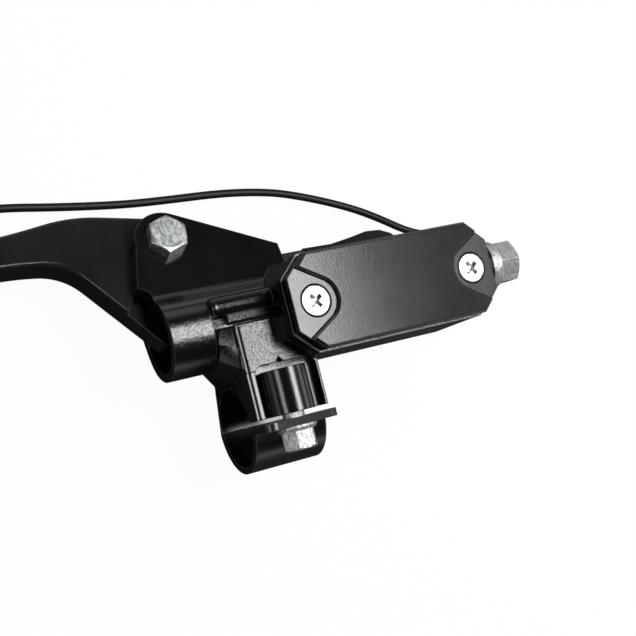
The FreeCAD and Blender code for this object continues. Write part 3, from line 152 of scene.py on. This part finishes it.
def rounded(place, radius):
    """The normal, rounded over the edges."""
    return place.node("ShaderNodeBevel", {"samples": 6}, {"Radius": radius})


def edge_mask(soft):
    """0 on a face, more where the rounded normal leaves it."""
    plain = soft.node("ShaderNodeNewGeometry", {}, {}, 1)
    return 1 - soft.node("ShaderNodeVectorMath", {"operation": "DOT_PRODUCT"}, {0: soft, 1: plain}, 1)


def coat(place, inputs):
    """The shader on the surface."""
    shader = place.node("ShaderNodeBsdfPrincipled", {}, inputs)
    place.node("ShaderNodeOutputMaterial", {}, {"Surface": shader})


def cast_paint(name, black, grain, depth, gloss, spread, edge_wear_and_highlight_amount, crown=None):
    """Black gloss paint on a casting: grain of the mould, uneven gloss, dust, and edges painted lighter grey, partly
    as paint thinned by use and partly as a painted edge highlight.
    """
    material, place = new_finish(name)
    soft = rounded(place, 0.0005)
    height = noise(place, grain, 1.5) * depth
    if crown:
        height = height + crown(place)
    patches = noise(place, 0.012, 2.0)
    chips = (noise(place, 0.0011) - 0.5) * 0.10
    # Painted highlight: the edges are lightened towards grey, partly as paint thinned by use at the edges, partly as
    # a painted edge highlight.
    edge_wear_and_highlight = ramp(edge_mask(soft) + chips, 0.03, 0.13) * edge_wear_and_highlight_amount
    dust = ramp(noise(place, 0.0006, 2.0), 0.66, 0.80) * 0.10
    body = tint(patches, (black, black, black * 1.06), (black * 1.5, black * 1.5, black * 1.55))
    dust_grey, edge_wear_and_highlight_grey = (0.03, 0.03, 0.03), (0.10, 0.10, 0.105)
    base = tint(edge_wear_and_highlight, tint(dust, body, dust_grey), edge_wear_and_highlight_grey)
    relief = place.node("ShaderNodeBump", {}, {"Height": height, "Strength": 1.0, "Distance": 1.0, "Normal": soft})
    coat(place, {"Base Color": base, "Roughness": patches * spread + gloss, "IOR": 1.55, "Normal": relief})
    return material


def arm_face(place):
    """The arm's sandy upper face, the hollow cheek left of it and the sloping beads at its root, bounds in mm."""
    boss_end, arm_end, pits_end, beads_end = 13.5, 27, 31, 34
    cheek_left, beads_left, face_left = -17, -16.5, -11
    across, away, high = x_y_z(place)
    across_mm, away_mm, level = across * 1000, away * 1000, high * 50
    past_boss = away_mm - boss_end
    near = ramp(arm_end - away_mm, 0.0, 0.3)
    face = near * ramp(level, 0.81, 0.82) * ramp(across_mm - face_left, 0.0, 0.3) * ramp(past_boss, 0.0, 0.3)
    cheek = near * ramp(across_mm - cheek_left, 0.5, 0.8) * ramp(face_left - across_mm, 0.0, 0.3)
    root = (1 - near) * ramp(beads_end - away_mm, 0.0, 0.3)
    bead = root * ramp(level, 0.60, 0.64) * ramp(across_mm - beads_left, 0.0, 0.3)
    sand = noise(place, 0.0005, 1.5) * 0.00007
    rough = ramp(pits_end - away_mm, 0.0, 0.9) * ramp(past_boss, 0.0, 0.9)
    pits = rough * ramp(noise(place, 0.0006, 2.0), 0.5, 0.7) * 0.00003
    face_slope, cheek_slope, bead_slope = across * 0.10, across * 0.3, across * 0.12
    return face * (sand * 0.5 + face_slope) + cheek * cheek_slope + bead * (sand - bead_slope) - pits


def dress(material, *names):
    """A finish on CAD nodes."""
    for name in names:
        for slot in nodes[name].material_slots:
            slot.material = material


dress(cast_paint("casting_paint", black=0.002, grain=0.00035, depth=0.00002, gloss=0.15, spread=0.08, edge_wear_and_highlight_amount=0.35,
                 crown=arm_face), "master_cylinder_body")


# Reservoir lid: a cast plate with cut corners, a plain raised panel and a low pad round each screw.
# Painted with the body, with a finer grain on its face; the panel falls away a little towards the outlet.
def lid_face(place):
    """The panel's slight camber, and on the pads the dish round each screw and the groove along the panel."""
    middle_x, middle_y, screw_reach = 0.0333, 0.0278, 0.025
    dish_radius_mm, groove_radius_mm, depth = 4.1, 5.9, 0.00025
    across, away, high = x_y_z(place)
    panel = ramp(high * 30, 0.905, 0.910)
    inward = screw_reach - abs(across - middle_x)
    aside = abs(away - middle_y)
    from_screw = place.math("SQRT", inward * inward + aside * aside, 0)
    dish = ramp(from_screw * 1000 - dish_radius_mm, 0.0, 0.5)
    border = inward
    for degrees in (20, 40, 58.5):
        angle = math.radians(degrees)
        border = place.math("MAXIMUM", border, inward * math.cos(angle) + aside * math.sin(angle))
    groove = ramp(border * 1000 - groove_radius_mm, 0.0, 0.6)
    pads = across * 0.02 + dish * depth - groove * depth
    return panel * across * across * -0.75 + (1 - panel) * pads


dress(cast_paint("lid_paint", black=0.003, grain=0.0004, depth=0.00004, gloss=0.2, spread=0.10, edge_wear_and_highlight_amount=0.4,
                 crown=lid_face), "reservoir_lid")

# Brake lever: one aluminium casting with rounded edges, satin black, on the pivot bolt between the ears.
# Its paint is a little smoother than the body's, with less edge wear and less painted edge highlight.
dress(cast_paint("lever_paint", black=0.003, grain=0.0006, depth=0.00002, gloss=0.2, spread=0.10, edge_wear_and_highlight_amount=0.2),
      "brake_lever")


# Clamp strap: a thin steel half ring with two ears, stamped and painted, bolted to the arm round the handlebar.
# Its sheared edges and its back lean a little, as pressed sheet does.
def strap_lean(place):
    """The lean of the pressed sheet along the handlebar."""
    return place.node("ShaderNodeSeparateXYZ", {}, {0: place}) * -0.15


dress(cast_paint("strap_paint", black=0.002, grain=0.0007, depth=0.00003, gloss=0.2, spread=0.12, edge_wear_and_highlight_amount=0.7,
                 crown=strap_lean), "clamp_strap")


# Fasteners: pivot bolt with its washer and nut, clamp bolts, lid screws and the outlet's plug bolt.
# Plain steel with white zinc plate, scratched by the spanner and dulled in patches.
def plated(name, colour, dull, gloss, spread, mark):
    """Bright plated metal with fine scratches and duller patches."""
    material, place = new_finish(name)
    lines = place.node("ShaderNodeMapping", {}, {"Vector": place, "Rotation": (0.3, 0.5, 0.7), "Scale": (3, 1, 1)})
    scratches = noise(lines, 0.0018, 3.0, 0.7)
    patches = noise(place, 0.0014, 3.0)
    base = tint(ramp(scratches * 0.7 + patches * 0.3, 0.42, 0.58), tuple(part * dull for part in colour), colour)
    relief = place.node("ShaderNodeBump", {}, {
        "Height": scratches, "Strength": 1.0, "Distance": mark, "Normal": rounded(place, 0.0003)})
    coat(place, {"Base Color": base, "Metallic": 1.0, "Roughness": patches * spread + gloss, "Normal": relief})
    return material


dress(plated("zinc_plate", (0.77, 0.80, 0.81), dull=0.45, gloss=0.30, spread=0.26, mark=0.00008),
      "pivot_bolt", "pivot_washer", "pivot_nut", "lid_screws")
dress(plated("worn_zinc", (0.74, 0.74, 0.74), dull=0.45, gloss=0.32, spread=0.26, mark=0.0004), "clamp_bolts")
dress(plated("new_zinc", (0.74, 0.74, 0.74), dull=0.7, gloss=0.36, spread=0.24, mark=0.0004), "outlet_bolt")

# Sealing washer at the outlet: a flat ring of soft aluminium.
# It is pressed between the outlet's face and the bolt's head.
dress(plated("washer_alloy", (0.80, 0.80, 0.79), dull=0.7, gloss=0.3, spread=0.2, mark=0.00003), "outlet_washer")


# Piston, stop washer and circlip in the cylinder's mouth, and the switch's plunger.
# Turned and stamped metal: light alloy, brass for the plunger, spring steel for the circlip.
def turned_metal(name, colour, pitch, gloss):
    """Metal from a lathe: fine rings along the cylinder's axis."""
    material, place = new_finish(name)
    rings = place.node("ShaderNodeTexWave", {"bands_direction": "X"}, {
        "Vector": place, "Scale": 0.314 / pitch, "Distortion": 1.5, "Detail": 2.0, "Detail Scale": 2.0})
    patches = noise(place, 0.003, 3.0)
    base = tint(patches, colour, tuple(part * 0.7 for part in colour))
    relief = place.node("ShaderNodeBump", {}, {"Height": rings, "Strength": 0.25, "Distance": 0.00002})
    coat(place, {"Base Color": base, "Metallic": 1.0, "Roughness": patches * 0.2 + gloss, "Normal": relief})
    return material


dress(turned_metal("piston_alloy", (0.74, 0.74, 0.73), pitch=0.0003, gloss=0.16), "piston", "stop_washer")
dress(turned_metal("brass", (0.76, 0.58, 0.27), pitch=0.0002, gloss=0.2), "switch_plunger")
wire_steel = turned_metal("spring_steel", (0.42, 0.42, 0.43), pitch=0.0004, gloss=0.25)
dress(wire_steel, "circlip")

# Return spring: hard-drawn steel wire in six open turns, from the cup's floor to the bore's closed end.
# It shortens as the piston goes in.
spring_sizes = {"Turns": 6.0, "Coil Radius": 0.00462, "Coil Length": 0.03335, "Wire Radius": 0.0006}
winding = bpy.data.node_groups.new("spring_winding", "GeometryNodeTree")
spring_sockets = {name: winding.interface.new_socket(name, in_out="INPUT", socket_type="NodeSocketFloat")
                  for name in spring_sizes}
winding.interface.new_socket("Geometry", in_out="OUTPUT", socket_type="NodeSocketGeometry")
given, spiral, section, swept, placed, smooth, plain, steel, wound = [winding.nodes.new(kind) for kind in (
    "NodeGroupInput", "GeometryNodeCurveSpiral", "GeometryNodeCurvePrimitiveCircle", "GeometryNodeCurveToMesh",
    "GeometryNodeTransform", "GeometryNodeSetShadeSmooth", "GeometryNodeRealizeInstances", "GeometryNodeSetMaterial",
    "NodeGroupOutput")]
spiral.inputs["Resolution"].default_value = 24
spiral.inputs["Reverse"].default_value = True
section.inputs["Resolution"].default_value = 12
swept.inputs["Fill Caps"].default_value = True
placed.inputs["Translation"].default_value = (0.03405, 0.0278, 0.0055)
placed.inputs["Rotation"].default_value = (0, math.pi / 2, 0)
steel.inputs["Material"].default_value = wire_steel
for size_name, target in (("Turns", spiral.inputs["Rotations"]), ("Coil Radius", spiral.inputs["Start Radius"]),
                          ("Coil Radius", spiral.inputs["End Radius"]), ("Coil Length", spiral.inputs["Height"]),
                          ("Wire Radius", section.inputs["Radius"])):
    winding.links.new(given.outputs[size_name], target)
winding.links.new(section.outputs[0], swept.inputs["Profile Curve"])
for before, after in zip((spiral, swept, placed, smooth, plain, steel), (swept, placed, smooth, plain, steel, wound)):
    winding.links.new(before.outputs[0], after.inputs[0])
spring = bpy.data.objects.new("spring_wire", bpy.data.meshes.new("spring_wire"))
bpy.context.scene.collection.objects.link(spring)
wind = spring.modifiers.new("wind", "NODES")
wind.node_group = winding
for size_name, length in spring_sizes.items():
    wind[spring_sockets[size_name].identifier] = length
wire = bpy.data.meshes.new_from_object(spring.evaluated_get(bpy.context.evaluated_depsgraph_get()))
spring.modifiers.remove(wind)
spring.data = wire
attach(spring, "housing")
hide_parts("return_spring")
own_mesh(spring)


# Rubber: diaphragm under the lid, the piston's cups, the dust seal and the boot behind the switch.
# Moulded black rubber, dull, with a little bloom.
def moulded(name, black, bloom, gloss, grain):
    """Moulded black rubber or plastic with a faint skin and a pale bloom in patches."""
    material, place = new_finish(name)
    skin = noise(place, grain, 3.0)
    patches = noise(place, 0.006, 3.0)
    base = tint(ramp(patches, 0.35, 0.8), (black, black, black), (bloom, bloom, bloom * 1.04))
    relief = place.node("ShaderNodeBump", {}, {"Height": skin, "Strength": 0.3, "Distance": 0.00004})
    coat(place, {"Base Color": base, "Roughness": patches * 0.15 + gloss, "IOR": 1.35, "Normal": relief})
    return material


dress(moulded("rubber", black=0.004, bloom=0.009, gloss=0.45, grain=0.0004),
      "reservoir_diaphragm", "secondary_cup", "primary_cup", "dust_seal", "switch_boot")

# Brake-light switch: a moulded shell of black plastic with a hexagon.
# It is screwed into the wall behind the lever's slot.
dress(moulded("switch_shell", black=0.02, bloom=0.028, gloss=0.32, grain=0.0005), "switch_body")

# Lead of the switch: a thin round cable with a limp black jacket, from the boot under the reservoir to the left.
# Its spare length is wound in two turns, the second on the first, then tied, and ends in a two-way connector.
lead_route = [
    (54.5, 42.984, -1.322), (63.7, 42.984, -1.322), (73.3, 43.584, -1.522), (78.7, 44.584, -10.222),
    (73.5, 45.984, -18.722), (58, 55.5, -18), (47, 60.8, -18.4), (32.3, 66, -18.2), (22.5, 68.2, -18),
    (9.4, 69.7, -17.8), (-6.5, 70.2, -17.8), (-21.1, 70.9, -18), (-40.5, 73.2, -18.2), (-57, 75.6, -18.1),
    (-67, 75.3, -18.4)]
coil_middle = (-76, 90)
turn_points = 12
spline_share = 0.966  # the spline's radius over that of its points
for step in range(2 * turn_points + 1):
    turn = step / turn_points
    radius = (14.9 - 2.7 * turn if turn < 1 else 12.2 + 1.4 * (turn - 1)) / spline_share
    height = -18.9 + 2.45 * min(1, max(0, (turn - 0.92) / 0.3))
    angle = math.radians(-90 - 360 * turn)
    lead_route.append((coil_middle[0] + radius * math.cos(angle), coil_middle[1] + radius * math.sin(angle), height))
lead_route += [(-86, 75.2, -16.4), (-94, 74.6, -17.8), (-103, 74.6, -18)]
lead_line = bpy.data.curves.new("lead", "CURVE")
lead_line.dimensions = "3D"
lead_line.bevel_depth = 0.0012
lead_line.bevel_resolution = 4
lead_line.resolution_u = 8
lead_line.use_fill_caps = True
run = lead_line.splines.new("NURBS")
run.points.add(len(lead_route) - 1)
for point, spot in zip(run.points, lead_route):
    point.co = (*(part / 1000 for part in spot), 1)
run.use_endpoint_u = True
run.order_u = 3
lead = bpy.data.objects.new("lead", lead_line)
bpy.context.scene.collection.objects.link(lead)
lead_line.materials.append(moulded("lead_jacket", black=0.003, bloom=0.006, gloss=0.38, grain=0.0006))
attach(lead, "housing")
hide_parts("switch_lead", "lead_coil", "lead_tail")

# Tie and connector at the lead's end: moulded black nylon.
# The tie holds the two turns together, and the connector is pushed on the lead's end.
dress(moulded("tie_nylon", black=0.02, bloom=0.03, gloss=0.4, grain=0.0008), "coil_tie")
dress(moulded("connector_nylon", black=0.028, bloom=0.04, gloss=0.42, grain=0.0007), "lead_connector")

# Floor: a pale table that the piece lies on, with the piece's own soft shadow.
# White to the eye and to reflections, but in reflections from close by its glow is darkened by ray length: painted
# shade standing in for the piece's shade.
low = cad_box[0][2] - 0.0004
table = bpy.data.meshes.new("table")
table.from_pydata([(-4, -4, low), (4, -4, low), (4, 4, low), (-4, 4, low)], [], [(0, 1, 2, 3)])
floor = bpy.data.objects.new("table", table)
bpy.context.scene.collection.objects.link(floor)
white, place = new_finish("table_white")
camera_ray, glossy_ray, clear_ray, reach = [place.node("ShaderNodeLightPath", {}, {}, give) for give in (
    "Is Camera Ray", "Is Glossy Ray", "Is Transmission Ray", "Ray Length")]
# Painted shade: for reflection rays the floor's glow gets darker the shorter the ray from the surface that sees it.
apart = place.math("MINIMUM", reach * 3, 1.0)
glow_with_painted_shade = place.math("MAXIMUM", camera_ray, apart * apart)
paper = place.node("ShaderNodeBsdfDiffuse", {}, {"Color": (0.82, 0.82, 0.82, 1)})
bright = place.node("ShaderNodeEmission", {}, {"Color": glow_with_painted_shade, "Strength": 1.0})
share = place.math("MINIMUM", camera_ray + glossy_ray + clear_ray, 1.0) * 0.96
both = place.node("ShaderNodeMixShader", {}, {0: share, 1: paper, 2: bright})
place.node("ShaderNodeOutputMaterial", {}, {"Surface": both})
table.materials.append(white)

# Studio light: one large soft box high on the right, which the lid mirrors, weak ones round it, and a dark grey room.
# To the eye the room is as white as the table; in metal only the sweep behind the table's edge is.
room = bpy.data.worlds.new("room")
bpy.context.scene.world = room
room.use_nodes = True
room.node_tree.nodes.clear()
way = Socket(room.node_tree, room.node_tree.nodes.new("ShaderNodeTexCoord").outputs["Generated"])
climb = way.node("ShaderNodeSeparateXYZ", {}, {0: way}, 2)
seen, mirrored, through = [way.node("ShaderNodeLightPath", {}, {}, give) for give in (
    "Is Camera Ray", "Is Glossy Ray", "Is Transmission Ray")]
sweep = 1 - ramp(climb, 0.02, 0.12)
pale = way.math("MINIMUM", seen + (mirrored + through) * sweep, 1.0)
air = way.node("ShaderNodeBackground", {}, {"Color": pale * 0.96 + 0.04, "Strength": 1.0})
way.node("ShaderNodeOutputWorld", {}, {"Surface": air})


def soft_box(name, at, aim, width, height, watts):
    """A rectangular soft box that faces a point."""
    lamp = bpy.data.lights.new(name, "AREA")
    lamp.shape = "RECTANGLE"
    lamp.size = width
    lamp.size_y = height
    lamp.energy = watts
    box = bpy.data.objects.new(name, lamp)
    facing = (Vector(at) - Vector(aim)).to_track_quat("Z", "Y").to_matrix().to_4x4()
    box.matrix_world = Matrix.Translation(at) @ facing
    bpy.context.scene.collection.objects.link(box)


soft_box("key_light", at=(0.21, 0.07, 0.64), aim=(0.21, 0.07, 0), width=0.24, height=0.42, watts=4.9)
soft_box("edge_light", at=(0.42, 0.05, 0.64), aim=(0.10, 0.05, 0), width=0.18, height=0.34, watts=0.06)
soft_box("back_light", at=(0.00, 0.60, 0.28), aim=(0, 0.04, 0), width=0.50, height=0.25, watts=0.4)
soft_box("side_light", at=(-0.50, 0.00, 0.36), aim=(0, 0.03, 0), width=0.25, height=0.15, watts=0.7)
soft_box("end_light", at=(0.55, 0.03, 0.30), aim=(0.02, 0.03, 0), width=0.25, height=0.20, watts=0.35)
